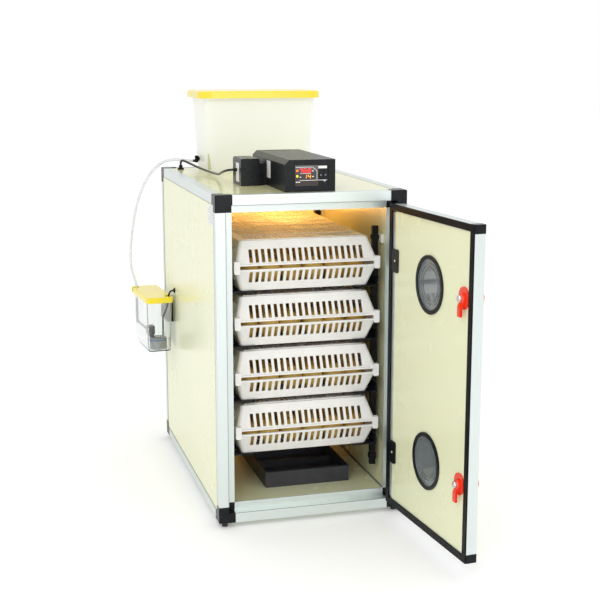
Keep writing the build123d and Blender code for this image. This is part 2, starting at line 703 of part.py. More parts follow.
def control_box_front():
    y0 = CONTROL_Y[0]
    front = control_section(0, y0 + 4, 4)
    front -= block(WINDOW_X, (y0 - 1, y0 + 1.2), WINDOW_Z)
    for x in BUTTONS.values():
        front -= rod((x, y0 - 1, BUTTON_Z), (0, 1, 0), BUTTON_R + 0.2, 6)
    return front


def button(x):
    y0 = CONTROL_Y[0]
    key = rod((x, y0 - 1.2, BUTTON_Z), (0, 1, 0), BUTTON_R, 5.2)
    key += rod((x, y0 + 4.6, BUTTON_Z), (0, 1, 0), BUTTON_R + 1.5, 1.2)
    return key + rod((x, y0 + 3, BUTTON_Z), (0, 1, 0), 2, 2)


def adapter_box():
    """The power supply: a black block with a stepped, ribbed right end."""
    low, high = ADAPTER_X
    body = block((low, high - 12), ADAPTER_Y, (ROOF_Z, ADAPTER_TOP))
    body = chamfer(body.edges().filter_by(Axis.Y).group_by(Axis.Z)[-1], 3)
    step = block((high - 13, high), (ADAPTER_Y[0] + 6, ADAPTER_Y[1] - 4), (ROOF_Z, ADAPTER_TOP - 10))
    for index in range(4):
        z = ROOF_Z + 8 + index * 9
        step -= block((high - 1.5, high + 1), (ADAPTER_Y[0], ADAPTER_Y[1]), (z, z + 3))
    stub = rod((low, *ADAPTER_CABLE_AT), (-1, 0, 0), 3.6, 8)
    return body + step + stub


def cable_glands():
    """The roof's gland for the supply cable and the wall's gland for the mist maker's cable."""
    x, y = ROOF_GLAND
    roof = rod((x, y, ROOF_Z), (0, 0, 1), 7.5, 4) + rod((x, y, ROOF_Z), (0, 0, 1), 4.5, 10)
    at = (-HX + INSET, *WALL_GLAND)
    wall = rod(at, (-1, 0, 0), 6, 2.5) + rod(at, (-1, 0, 0), 3.5, 4)
    return [roof, wall]


def cup_hanger():
    """A black wedge between the wall and the cup's side, with the mist port through it."""
    strip = block((CUP_X[1] - 15, -HX + INSET), (196, 262), (318, 368))
    strip -= hung(cup_hull(0, CUP_Z))
    return strip - rod((-HX - 20, 240, 350), (1, 0, 0), 9, 30)


def tank_body():
    low = tapered(TANK_AT, ROOF_Z, TANK_Z, TANK_BASE, TANK_TOP, 22)
    thin = 2 * TANK_WALL
    inner = tapered(TANK_AT, ROOF_Z + TANK_WALL, TANK_Z + 0.01, (TANK_BASE[0] - thin, TANK_BASE[1] - thin),
                    (TANK_TOP[0] - thin, TANK_TOP[1] - thin), 20)
    tank = low - inner
    rim = Pos(*TANK_AT, TANK_Z - 3) * extrude(RectangleRounded(TANK_TOP[0] + 10, TANK_TOP[1] + 10, 26), 3)
    rim -= Pos(*TANK_AT, TANK_Z - 4) * extrude(RectangleRounded(TANK_TOP[0] - 3, TANK_TOP[1] - 3, 20), 6)
    return tank + rim - rod((TANK_LEFT - 5, ELBOW_Y, ELBOW_Z), (1, 0, 0), 3.5, 12)


def tank_lid():
    lid = Pos(*TANK_AT, TANK_Z - 4) * extrude(RectangleRounded(*TANK_LID, 30), 16)
    lid = chamfer(lid.edges().group_by(Axis.Z)[-1], 3)
    inner = Pos(*TANK_AT, TANK_Z - 5) * extrude(RectangleRounded(TANK_LID[0] - 5, TANK_LID[1] - 5, 28), 5.05)
    return lid - inner


def tank_outlet_elbow():
    """A black outlet on the tank's left wall, turned down, with a barb for the hose."""
    x = TANK_LEFT
    body = rod((x + 6, ELBOW_Y, ELBOW_Z), (-1, 0, 0), 3.3, 13)
    body += rod((x - 1.3, ELBOW_Y, ELBOW_Z), (-1, 0, 0), 6, 2)
    body += rod((x - 7, ELBOW_Y, ELBOW_Z - 9), (0, 0, 1), 4, 16)
    body += rod((x - 7, ELBOW_Y, ELBOW_Z - 5), (-1, 0, 0), 3, 9)
    return body


def cup_hull(shrink, tall):
    """The cup's outer or inner form, a little narrower at its base."""
    middle = ((CUP_X[0] + CUP_X[1]) / 2, (CUP_Y[0] + CUP_Y[1]) / 2)
    size = (CUP_X[1] - CUP_X[0] - 2 * shrink, CUP_Y[1] - CUP_Y[0] - 2 * shrink)
    base = (size[0] - 2 * CUP_TAPER, size[1] - 2 * CUP_TAPER)
    return tapered(middle, *tall, base, size, 9 - shrink)


def mist_cup():
    """A clear box, open at the top."""
    inner = cup_hull(CUP_WALL, (CUP_Z[0] + CUP_WALL, CUP_Z[1] + 0.01))
    return hung(cup_hull(0, CUP_Z) - inner)


def cup_lid():
    """A yellow lid with a skirt, and a notch each for the hose and the cable."""
    low, high = (CUP_X[0] - 3, CUP_X[1] + 1), (CUP_Y[0] - 8, CUP_Y[1] + 8)
    lid = block(low, high, (CUP_Z[1] - 4, CUP_Z[1] + 9))
    lid = fillet(lid.edges().filter_by(Axis.Z), 9)
    lid = chamfer(lid.edges().group_by(Axis.Z)[-1], 2)
    across = (CUP_X[0] - 0.5, CUP_X[1] + 0.5)
    lid -= block(across, (high[0] + 2.5, high[1] - 2.5), (CUP_Z[1] - 5, CUP_Z[1] + 0.05))
    lid = hung(lid)
    lid -= block((-290, -258), (288, 303), (CUP_Z[1] - 5, CUP_Z[1] + 20))
    return lid - block((-216, -180), (156, 176), (CUP_Z[1] - 5, CUP_Z[1] + 20))


def mist_maker():
    x, y = MIST_MAKER
    z = CUP_Z[0] + CUP_WALL
    body = rod((x, y, z), (0, 0, 1), 21.5, 26)
    body = chamfer(body.edges().group_by(Axis.Z)[-1], 3)
    body += rod((x, y, z + 24), (0, 0, 1), 9, 4)
    return hung(body + rod((x + 12, y - 8, z + 24), (0, 0, 1), 3, 14))


def float_valve():
    """The block that stops the water, its float and the rigid inlet pipe the hose is pushed onto."""
    body = block((-251, -236), (176, 198), (295, 314))
    pipe = rod((HOSE_END[0], HOSE_END[1], 300), (0, 0, 1), 2.6, HOSE_END[2] - 300)
    arm = rod((HOSE_END[0], HOSE_END[1], 304), Vector(0, -1, 0), 2.6, HOSE_END[1] - 196)
    bulb = rod((-243, 187, 287), (0, 0, 1), 7, 9)
    return hung(body + pipe + arm + bulb)


def main():
    os.makedirs("parts", exist_ok=True)
    save("frame_profiles", *frame_profiles())
    save("corner_connectors", *corner_connectors())
    save("left_panel", side_panel(-1))
    save("right_panel", side_panel(1))
    save("roof_panel", level_panel(1))
    save("floor_panel", level_panel(-1))
    save("rear_panel", rear_panel())
    save("feet", *feet())
    save("hinge_frame_leaves", *[hinge_frame_leaf(z) for z in HINGE_Z])
    save("hinge_door_leaves", *[opened(piece) for z in HINGE_Z for piece in hinge_door_leaf(z)])
    save("door_profiles", *[opened(piece) for piece in door_profiles()])
    save("door_corners", *[opened(piece) for piece in door_corners()])
    save("door_panel", opened(door_panel()))
    save("door_gasket", opened(door_gasket()))
    save("porthole_rings", *[opened(porthole_ring(z)) for z in PORT_Z])
    save("porthole_glazing", *[opened(pane) for z in PORT_Z for pane in porthole_glass(z)])
    save("latch_bases", *[opened(latch_base(z)) for z in LATCH_Z])
    for name, z in zip(("lower", "upper"), LATCH_Z):
        save(f"latch_knob_{name}", opened(latch_knob(z)))
        save(f"latch_cam_{name}", opened(latch_cam(z)))
    base, lid = tray_half(-1), tray_half(1)
    for index, z in enumerate(TRAY_LEVELS, start=1):
        save(f"tray_base_{index}", Pos(0, 0, z) * base)
        save(f"tray_lid_{index}", Pos(0, 0, z) * lid)
        save(f"carrier_{index}", carrier(z))
    save("link_bar_left", *link_bar(-1))
    save("link_bar_right", *link_bar(1))
    save("rear_post", rear_post())
    save("turning_motor", turning_motor())
    save("fan_housing", fan_housing())
    save("fan_rotor", fan_rotor())
    save("heater_element", heater_element())
    save("temperature_sensor", temperature_sensor())
    save("rack_guides", *rack_guides())
    save("floor_pan", floor_pan())
    save("control_box_shell", control_box_shell())
    save("control_box_front", control_box_front())
    for name, x in BUTTONS.items():
        save(name, button(x))
    save("adapter_box", adapter_box())
    save("cable_glands", *cable_glands())
    save("cup_hanger", cup_hanger())
    save("water_tank", tank_body())
    save("tank_lid", tank_lid())
    save("tank_outlet_elbow", tank_outlet_elbow())
    save("mist_cup", mist_cup())
    save("cup_lid", cup_lid())
    save("mist_maker", mist_maker())
    save("float_valve", float_valve())
    save("adapter_cable", cord("adapter_cable", ADAPTER_ROUTE, CABLE_D))
    save("water_hose", cord("water_hose", HOSE_ROUTE, HOSE_D))
    save("mist_cable", cord("mist_cable", MIST_ROUTE, MIST_CABLE_D))


main()
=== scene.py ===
import math
import random

import bmesh
import bpy
from mathutils import Matrix, Vector
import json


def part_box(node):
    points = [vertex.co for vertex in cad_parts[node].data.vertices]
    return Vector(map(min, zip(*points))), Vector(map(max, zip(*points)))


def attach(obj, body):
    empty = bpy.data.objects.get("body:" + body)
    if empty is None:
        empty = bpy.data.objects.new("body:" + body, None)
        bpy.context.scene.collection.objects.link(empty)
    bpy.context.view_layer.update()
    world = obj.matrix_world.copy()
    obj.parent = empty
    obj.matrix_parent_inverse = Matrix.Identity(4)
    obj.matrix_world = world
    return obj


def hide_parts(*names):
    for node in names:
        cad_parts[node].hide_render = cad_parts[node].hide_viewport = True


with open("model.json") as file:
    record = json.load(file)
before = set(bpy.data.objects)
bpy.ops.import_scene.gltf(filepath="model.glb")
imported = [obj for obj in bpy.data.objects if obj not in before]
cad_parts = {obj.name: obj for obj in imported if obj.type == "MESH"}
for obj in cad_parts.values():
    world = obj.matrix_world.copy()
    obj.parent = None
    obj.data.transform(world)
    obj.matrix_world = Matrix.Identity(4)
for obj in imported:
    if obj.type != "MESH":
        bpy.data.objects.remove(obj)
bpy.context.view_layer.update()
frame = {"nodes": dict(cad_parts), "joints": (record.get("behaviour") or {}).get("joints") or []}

MM = 0.001
nodes = frame["nodes"]


# ---------------------------------------------------------------- small helpers


def low_high(node):
    """A node's lowest and highest corners, in metres."""
    low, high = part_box(node)
    return Vector(low), Vector(high)


def piece(name, mesh, material, body, smooth=False, bevel=0.0, segments=2):
    """Turn a bmesh into a finished object that rides on a body."""
    data = bpy.data.meshes.new(name)
    mesh.to_mesh(data)
    mesh.free()
    data.materials.append(material)
    obj = bpy.data.objects.new(name, data)
    bpy.context.collection.objects.link(obj)
    if smooth:
        data.shade_smooth()
    if bevel:
        edge = obj.modifiers.new("bevel", "BEVEL")
        edge.width = bevel
        edge.segments = segments
        edge.limit_method = "ANGLE"
        edge.harden_normals = True
        data.shade_smooth()
    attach(obj, body)
    return obj


def add_box(mesh, low, high, turn=None):
    """Add a box between two corners, optionally moved by a matrix."""
    low, high = Vector(low), Vector(high)
    made = bmesh.ops.create_cube(mesh, size=1.0)["verts"]
    size, middle = high - low, (high + low) / 2
    for vert in made:
        vert.co = Vector((vert.co.x * size.x, vert.co.y * size.y, vert.co.z * size.z)) + middle
    if turn is not None:
        bmesh.ops.transform(mesh, matrix=turn, verts=made)
    return made


def add_lathe(mesh, profile, steps, turn):
    """Add a body of revolution about its own Z from (radius, height) points."""
    rings = []
    for radius, height in profile:
        if radius < 1e-7:
            rings.append([mesh.verts.new(turn @ Vector((0, 0, height)))])
            continue
        ring = []
        for step in range(steps):
            angle = 2 * math.pi * step / steps
            at = Vector((radius * math.cos(angle), radius * math.sin(angle), height))
            ring.append(mesh.verts.new(turn @ at))
        rings.append(ring)
    for first, second in zip(rings, rings[1:]):
        for step in range(steps):
            after = (step + 1) % steps
            if len(first) == 1 and len(second) == 1:
                continue
            if len(first) == 1:
                mesh.faces.new((first[0], second[after], second[step]))
            elif len(second) == 1:
                mesh.faces.new((first[step], first[after], second[0]))
            else:
                mesh.faces.new((first[step], first[after], second[after], second[step]))


def facing(at, axis, up=(0, 0, 1)):
    """A matrix whose Z runs along axis and whose origin is at a point."""
    z = Vector(axis).normalized()
    x = Vector(up).cross(z)
    if x.length < 1e-6:
        x = Vector((1, 0, 0))
    x.normalize()
    y = z.cross(x)
    turn = Matrix((x, y, z)).transposed().to_4x4()
    turn.translation = Vector(at)
    return turn


# ---------------------------------------------------------------- materials


def tree_of(name):
    """A new node material, its tree and its shader."""
    material = bpy.data.materials.new(name)
    material.use_nodes = True
    tree = material.node_tree
    return material, tree, tree.nodes["Principled BSDF"]


def coordinates(tree, stretch=(1, 1, 1)):
    where = tree.nodes.new("ShaderNodeTexCoord")
    mapping = tree.nodes.new("ShaderNodeMapping")
    mapping.inputs["Scale"].default_value = stretch
    tree.links.new(where.outputs["Object"], mapping.inputs["Vector"])
    return mapping.outputs["Vector"]


def noise_of(tree, vector, scale, detail=3.0, rough=0.55):
    noise = tree.nodes.new("ShaderNodeTexNoise")
    noise.inputs["Scale"].default_value = scale
    noise.inputs["Detail"].default_value = detail
    noise.inputs["Roughness"].default_value = rough
    tree.links.new(vector, noise.inputs["Vector"])
    return noise.outputs["Fac"]


def ramp_between(tree, factor, low, high, start=0.3, end=0.7):
    ramp = tree.nodes.new("ShaderNodeValToRGB")
    ramp.color_ramp.elements[0].position = start
    ramp.color_ramp.elements[1].position = end
    ramp.color_ramp.elements[0].color = (*low, 1)
    ramp.color_ramp.elements[1].color = (*high, 1)
    tree.links.new(factor, ramp.inputs["Fac"])
    return ramp.outputs["Color"]


def span_between(tree, factor, low, high):
    span = tree.nodes.new("ShaderNodeMapRange")
    span.inputs["From Min"].default_value = 0.3
    span.inputs["From Max"].default_value = 0.7
    span.inputs["To Min"].default_value = low
    span.inputs["To Max"].default_value = high
    tree.links.new(factor, span.inputs["Value"])
    return span.outputs["Result"]


def bump_from(tree, shader, height, strength, distance):
    bump = tree.nodes.new("ShaderNodeBump")
    bump.inputs["Strength"].default_value = strength
    bump.inputs["Distance"].default_value = distance
    tree.links.new(height, bump.inputs["Height"])
    tree.links.new(bump.outputs["Normal"], shader.inputs["Normal"])


def surface(name, low, high, rough, scale=60.0, stretch=(1, 1, 1), grain=900.0, bump=0.15, depth=0.0002,
            **fixed):
    """A moulded, coated or drawn finish: mottled colour and roughness with a fine grain."""
    material, tree, shader = tree_of(name)
    vector = coordinates(tree, stretch)
    broad = noise_of(tree, vector, scale)
    tree.links.new(ramp_between(tree, broad, low, high), shader.inputs["Base Color"])
    finer = noise_of(tree, vector, scale * 3.1)
    tree.links.new(span_between(tree, finer, *rough), shader.inputs["Roughness"])
    bump_from(tree, shader, noise_of(tree, vector, grain, 2.0), bump, depth)
    for key, value in fixed.items():
        shader.inputs[key.replace("_", " ")].default_value = value
    return material


def glow(name, colour, strength):
    """A lit display segment or lamp, a little uneven."""
    material, tree, shader = tree_of(name)
    vector = coordinates(tree)
    dim = tuple(channel * 0.75 for channel in colour)
    uneven = ramp_between(tree, noise_of(tree, vector, 700.0), dim, colour)
    tree.links.new(uneven, shader.inputs["Emission Color"])
    shader.inputs["Emission Strength"].default_value = strength
    shader.inputs["Base Color"].default_value = (*colour, 1)
    return material


def egg_shell():
    """Brown shell: each egg its own shade, with pores and faint speckles."""
    material, tree, shader = tree_of("egg_shell")
    vector = coordinates(tree)
    island = tree.nodes.new("ShaderNodeNewGeometry").outputs["Random Per Island"]
    shade = ramp_between(tree, island, (0.56, 0.33, 0.055), (0.78, 0.55, 0.14), 0.0, 1.0)
    dots = noise_of(tree, vector, 1400.0, 2.0)
    speckle = ramp_between(tree, dots, (0.72, 0.72, 0.72), (1, 1, 1), 0.30, 0.42)
    mix = tree.nodes.new("ShaderNodeMix")
    mix.data_type = "RGBA"
    mix.blend_type = "MULTIPLY"
    mix.inputs["Factor"].default_value = 0.6
    tree.links.new(shade, mix.inputs[6])
    tree.links.new(speckle, mix.inputs[7])
    tree.links.new(mix.outputs[2], shader.inputs["Base Color"])
    tree.links.new(span_between(tree, noise_of(tree, vector, 180.0), 0.38, 0.52), shader.inputs["Roughness"])
    bump_from(tree, shader, noise_of(tree, vector, 2600.0, 1.0), 0.12, 0.0001)
    shader.inputs["Subsurface Weight"].default_value = 0.08
    shader.inputs["Subsurface Radius"].default_value = (0.004, 0.002, 0.001)
    return material


cream = surface("cream_skin", (0.820, 0.835, 0.560), (0.828, 0.843, 0.568), (0.26, 0.28), 2.0,
                grain=40.0, bump=0.0, Coat_Weight=0.15, Coat_Roughness=0.10)
roof_cream = surface("roof_skin", (0.765, 0.750, 0.42), (0.775, 0.760, 0.43), (0.22, 0.24), 2.0,
                     grain=40.0, bump=0.0, Coat_Weight=0.25, Coat_Roughness=0.08)
aluminium = surface("anodised_bar", (0.66, 0.72, 0.70), (0.70, 0.76, 0.74), (0.28, 0.34), 40.0, (30, 30, 1),
                    grain=500.0, bump=0.03, depth=0.0001, Metallic=0.7)
black_moulded = surface("black_moulding", (0.003, 0.004, 0.005), (0.007, 0.009, 0.011), (0.24, 0.34), 70.0,
                        grain=1500.0, bump=0.06, depth=0.0001, Specular_IOR_Level=0.22)
black_coated = surface("black_powder_coat", (0.004, 0.005, 0.007), (0.009, 0.011, 0.014), (0.28, 0.38), 50.0,
                       grain=2200.0, bump=0.08, depth=0.0001, Specular_IOR_Level=0.25)
gasket_rubber = surface("gasket_rubber", (0.003, 0.003, 0.004), (0.006, 0.007, 0.008), (0.34, 0.44), 90.0,
                        grain=1800.0, bump=0.08, depth=0.0001, Specular_IOR_Level=0.1)
foot_rubber = surface("foot_rubber", (0.012, 0.012, 0.012), (0.028, 0.028, 0.028), (0.6, 0.75), 120.0)
sheath = surface("cable_sheath", (0.008, 0.008, 0.009), (0.018, 0.018, 0.020), (0.30, 0.42), 140.0,
                 grain=1500.0, bump=0.1, depth=0.00005)
red_plastic = surface("latch_red", (0.82, 0.025, 0.003), (0.90, 0.042, 0.006), (0.16, 0.24), 90.0,
                      grain=900.0, bump=0.04, depth=0.0001, Coat_Weight=0.4, Coat_Roughness=0.08)
yellow_plastic = surface("lid_yellow", (0.88, 0.71, 0.028), (0.93, 0.76, 0.040), (0.16, 0.24), 18.0,
                         grain=300.0, bump=0.02, depth=0.0002, Coat_Weight=0.3, Coat_Roughness=0.1)
tray_plastic = surface("tray_white", (0.80, 0.79, 0.77), (0.86, 0.85, 0.83), (0.26, 0.36), 30.0,
                       grain=600.0, bump=0.04, depth=0.0001, Subsurface_Weight=0.1,
                       Subsurface_Radius=(0.004, 0.003, 0.002))
pan_plastic = surface("pan_grey", (0.036, 0.036, 0.046), (0.050, 0.050, 0.062), (0.36, 0.50), 60.0,
                      grain=1300.0, bump=0.25, depth=0.0001)
white_plastic = surface("white_moulding", (0.84, 0.84, 0.82), (0.91, 0.91, 0.89), (0.3, 0.42), 80.0)
mist_grey = surface("mist_grey", (0.30, 0.31, 0.33), (0.40, 0.41, 0.44), (0.22, 0.34), 90.0, Metallic=0.3)
cast_grey = surface("motor_grey", (0.20, 0.21, 0.22), (0.32, 0.33, 0.34), (0.4, 0.55), 120.0, Metallic=0.5)
steel = surface("zinc_steel", (0.62, 0.62, 0.60), (0.80, 0.80, 0.78), (0.18, 0.32), 300.0, Metallic=1.0)
heater_steel = surface("heater_steel", (0.30, 0.24, 0.20), (0.50, 0.44, 0.40), (0.3, 0.45), 90.0,
                       Metallic=1.0)
# milky tank plastic with a faint warm-white glow: painted light, since the tank holds no lamp
tank_plastic_self_lit = surface("tank_milky_self_lit", (0.945, 0.955, 0.885), (0.955, 0.965, 0.90), (0.27, 0.29), 2.0,
                       grain=30.0, bump=0.0, Transmission_Weight=0.18, IOR=1.3, Emission_Strength=0.06,
                       Emission_Color=(1.0, 1.0, 0.9, 1.0))
clear_plastic = surface("clear_plastic", (0.93, 0.96, 0.95), (0.97, 0.985, 0.975), (0.03, 0.07), 20.0,
                        grain=90.0, bump=0.02, depth=0.0002, Transmission_Weight=0.95, IOR=1.3)
port_glass = surface("port_glass", (0.34, 0.38, 0.39), (0.42, 0.45, 0.46), (0.04, 0.08), 12.0,
                     grain=60.0, bump=0.03, depth=0.0004, Transmission_Weight=0.6, IOR=1.45, Coat_Weight=0.6)
hose_plastic = surface("hose_clear", (0.84, 0.88, 0.88), (0.92, 0.94, 0.94), (0.10, 0.18), 60.0,
                       Transmission_Weight=0.5, IOR=1.3)
# real water in the tank, its yellow-green colour painted light thrown up from the roof
water_with_roof_light = surface("water_with_roof_light", (0.72, 0.77, 0.48), (0.77, 0.82, 0.54), (0.10, 0.16), 10.0,
                     grain=60.0, bump=0.03, depth=0.0005, Transmission_Weight=0.3, IOR=1.33)
blue_mark = surface("mist_maker_mark", (0.02, 0.10, 0.42), (0.03, 0.15, 0.52), (0.2, 0.3), 120.0)
screw_steel = surface("screw_steel", (0.55, 0.50, 0.42), (0.75, 0.70, 0.60), (0.25, 0.35), 300.0,
                      Metallic=0.9)
strip_beige = surface("heater_strip", (0.62, 0.40, 0.27), (0.72, 0.48, 0.33), (0.35, 0.45), 40.0, (1, 1, 0.1))
# grey for the floor's real sealing bead, and for the painted shade lines along the bars
seal_and_shade_grey = surface("seal_and_shade_grey", (0.20, 0.21, 0.22), (0.28, 0.29, 0.30), (0.4, 0.5), 60.0)
button_grey = surface("button_mark", (0.30, 0.34, 0.36), (0.42, 0.46, 0.48), (0.3, 0.4), 400.0)
window_dark = surface("display_window", (0.016, 0.004, 0.004), (0.026, 0.007, 0.006), (0.06, 0.10), 60.0,
                      grain=200.0, bump=0.02, Coat_Weight=0.6, Coat_Roughness=0.03)
label_white = surface("label_white", (0.80, 0.80, 0.78), (0.88, 0.88, 0.86), (0.4, 0.5), 150.0)
red_glow = glow("digit_red", (1.0, 0.012, 0.012), 1.3)
amber_glow = glow("digit_amber", (1.0, 0.42, 0.01), 1.15)
yellow_glow = glow("lamp_yellow", (1.0, 0.72, 0.02), 1.4)
orange_glow = glow("lamp_orange", (1.0, 0.16, 0.01), 1.5)
shell = egg_shell()

FINISH = {
    "frame_profiles": aluminium, "corner_connectors": black_moulded, "left_panel": cream,
    "right_panel": cream, "roof_panel": roof_cream, "floor_panel": cream, "rear_panel": cream,
    "feet": foot_rubber, "hinge_frame_leaves": black_coated, "cable_glands": black_moulded,
    "control_box_shell": black_coated, "control_box_front": black_moulded, "adapter_box": black_moulded,
    "water_tank": tank_plastic_self_lit, "tank_outlet_elbow": black_moulded, "mist_cup": clear_plastic,
    "cup_hanger": black_coated, "mist_maker": mist_grey, "float_valve": black_moulded,
    "rear_post": black_coated, "turning_motor": cast_grey, "fan_housing": black_coated,
    "heater_element": heater_steel, "temperature_sensor": steel, "rack_guides": white_plastic,
    "fan_rotor": black_moulded, "door_profiles": aluminium, "door_corners": black_moulded,
    "door_panel": cream, "door_gasket": gasket_rubber, "porthole_rings": black_moulded,
    "porthole_glazing": port_glass, "hinge_door_leaves": black_coated, "latch_bases": red_plastic,
    "latch_knob_upper": red_plastic, "latch_knob_lower": red_plastic, "latch_cam_upper": red_plastic,
    "latch_cam_lower": red_plastic, "link_bar_left": black_coated, "link_bar_right": black_coated,
    "tank_lid": yellow_plastic, "cup_lid": yellow_plastic, "floor_pan": pan_plastic,
    "button_up": foot_rubber, "button_down": foot_rubber,
}
for index in (1, 2, 3, 4):
    FINISH[f"tray_base_{index}"] = tray_plastic
    FINISH[f"tray_lid_{index}"] = tray_plastic
    FINISH[f"carrier_{index}"] = black_coated
for name, material in FINISH.items():
    data = nodes[name].data
    data.materials.clear()
    data.materials.append(material)


# width of the rounding on each moulded or pressed node's edges, in millimetres
ROUNDED = {
    "corner_connectors": 1.6, "door_corners": 1.4, "frame_profiles": 0.6, "door_profiles": 0.6,
    "adapter_box": 1.2, "control_box_shell": 0.5, "control_box_front": 0.5, "tank_lid": 1.2,
    "water_tank": 0.8, "cup_lid": 0.8, "mist_cup": 0.5, "door_gasket": 0.7, "floor_pan": 0.6,
    "hinge_door_leaves": 0.8, "hinge_frame_leaves": 0.8, "latch_bases": 0.7, "latch_knob_upper": 0.6,
    "latch_knob_lower": 0.6, "latch_cam_upper": 0.7, "latch_cam_lower": 0.7, "fan_housing": 0.6,
    "link_bar_left": 0.5, "link_bar_right": 0.5, "rack_guides": 0.5, "porthole_rings": 0.5,
    "cup_hanger": 0.4, "turning_motor": 0.8,
}
for name, width in ROUNDED.items():
    edge = nodes[name].modifiers.new("rounding", "BEVEL")
    edge.width = width * MM
    edge.segments = 2
    edge.limit_method = "ANGLE"
    edge.angle_limit = math.radians(50)
    edge.harden_normals = True
    edge.use_clamp_overlap = True


# ---------------------------------------------------------------- camera and cords


def make_camera():
    """At the reference view: to the left of the door side, a little above the cabinet."""
    data = bpy.data.cameras.new("camera")
    data.sensor_width = 36.0
    data.lens = 73.1
    data.clip_start, data.clip_end = 0.05, 60
    camera = bpy.data.objects.new("camera", data)
    bpy.context.collection.objects.link(camera)
    camera.location = (-0.655, -2.587, 0.927)
    camera.rotation_euler = (math.radians(90 - 11.243), 0, math.radians(-15.495))
    bpy.context.scene.camera = camera


def make_cord(name, route, diameter, material, node):
    """A smooth curve through the route's control points."""
    curve = bpy.data.curves.new(name, "CURVE")
    curve.dimensions = "3D"
    curve.resolution_u = 14
    curve.bevel_depth = diameter / 2
    curve.bevel_resolution = 5
    curve.use_fill_caps = True
    spline = curve.splines.new("NURBS")
    spline.points.add(len(route) - 1)
    for point, at in zip(spline.points, route):
        point.co = (at[0] * MM, at[1] * MM, at[2] * MM, 1)
    spline.order_u = 3
    spline.use_endpoint_u = True
    curve.materials.append(material)
    cord = bpy.data.objects.new(name, curve)
    bpy.context.collection.objects.link(cord)
    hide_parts(node)
    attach(cord, "cabinet")
    return cord


ADAPTER_ROUTE = [(-114, -118, 700), (-124, -118, 700), (-131, -98, 695), (-128, -58, 688), (-119, 0, 680),
                 (-116, 58, 676), (-121, 120, 676.5), (-131, 176, 680), (-143, 219, 686), (-152, 242, 690.5),
                 (-158, 256, 691), (-158, 256, 679.3)]
HOSE_ROUTE = [(-128.7, 258, 689), (-138, 258, 689), (-151, 266, 691), (-170, 274, 691.5), (-190, 276, 689),
              (-211, 277, 677), (-231, 281, 655), (-248, 285, 622), (-262, 290, 577), (-271, 295, 524),
              (-276, 299, 470), (-275, 299, 426), (-262.6, 295.5, 394), (-262.6, 295.5, 357.1)]
MIST_ROUTE = [(-197.3, 166, 398), (-201, 166, 398), (-206, 167, 393), (-208, 168, 384), (-209, 170, 368),
              (-213, 174, 352), (-220.1, 179, 336), (-220.1, 182.5, 318), (-220.1, 182.5, 297.1)]

make_camera()
make_cord("supply_cable", ADAPTER_ROUTE, 0.005, sheath, "adapter_cable")
make_cord("feed_hose", HOSE_ROUTE, 0.006, hose_plastic, "water_hose")
make_cord("mist_lead", MIST_ROUTE, 0.004, sheath, "mist_cable")


# ---------------------------------------------------------------- eggs and water


EGG_LONG = 0.057
EGG_RADIUS = 0.0222
EGG_PITCH = (0.0455, 0.0468)      # across the tray and along it
WATER_LEVEL = 0.714


def make_eggs(level):
    """Sixty eggs on end in a tray, blunt end up, each a little turned."""
    low, high = low_high(f"tray_base_{level}")
    rng = random.Random(40 + level)
    mesh = bmesh.new()
    middle = (low + high) / 2
    profile = []
    for step in range(13):
        angle = math.pi * step / 12
        bulge = 1 + 0.10 * math.cos(angle + math.pi)
        profile.append((EGG_RADIUS * math.sin(angle) * bulge, EGG_LONG * (1 - math.cos(angle)) / 2))
    for row in range(10):
        for column in range(6):
            x = (column - 2.5) * EGG_PITCH[0] + rng.uniform(-1, 1) * 0.0005
            y = middle.y + (row - 4.5) * EGG_PITCH[1] + rng.uniform(-1, 1) * 0.0007
            tilt = Matrix.Rotation(rng.uniform(-0.09, 0.09), 4, "X")
            tilt = tilt @ Matrix.Rotation(rng.uniform(-0.09, 0.09), 4, "Y")
            size = rng.uniform(0.95, 1.02)
            turn = Matrix.Translation((x, y, low.z + 0.0045)) @ tilt @ Matrix.Scale(size, 4)
            add_lathe(mesh, profile, 20, turn)
    bmesh.ops.remove_doubles(mesh, verts=mesh.verts, dist=1e-6)
    bmesh.ops.recalc_face_normals(mesh, faces=mesh.faces)
    piece(f"eggs_{level}", mesh, shell, f"tray_{level}", smooth=True)


for level in (1, 2, 3, 4):
    make_eggs(level)


def add_tapered(mesh, base_low, base_high, bottom, top, grow):
    """A block whose top is wider than its bottom by grow on each side."""
    corners = []
    for z, more in ((bottom, 0.0), (top, grow)):
        corners.append([mesh.verts.new((x, y, z)) for x, y in (
            (base_low.x - more, base_low.y - more), (base_high.x + more, base_low.y - more),
            (base_high.x + more, base_high.y + more), (base_low.x - more, base_high.y + more))])
    under, over = corners
    for index in range(4):
        after = (index + 1) % 4
        mesh.faces.new((under[index], under[after], over[after], over[index]))
    mesh.faces.new(list(reversed(under)))
    mesh.faces.new(over)


def make_tank_water():
    """Water in the roof tank, filled to a quarter, as wide as the narrowing walls leave it; its yellow-green
    tone is the roof's light, painted in.
    """
    base_low, base_high = Vector((-0.1085, 0.171)), Vector((0.1315, 0.295))
    mesh = bmesh.new()
    add_tapered(mesh, base_low, base_high, low_high("water_tank")[0].z + 0.0035, WATER_LEVEL, 0.0010)
    piece("water_with_roof_light", mesh, water_with_roof_light, "cabinet", bevel=0.004, segments=3)


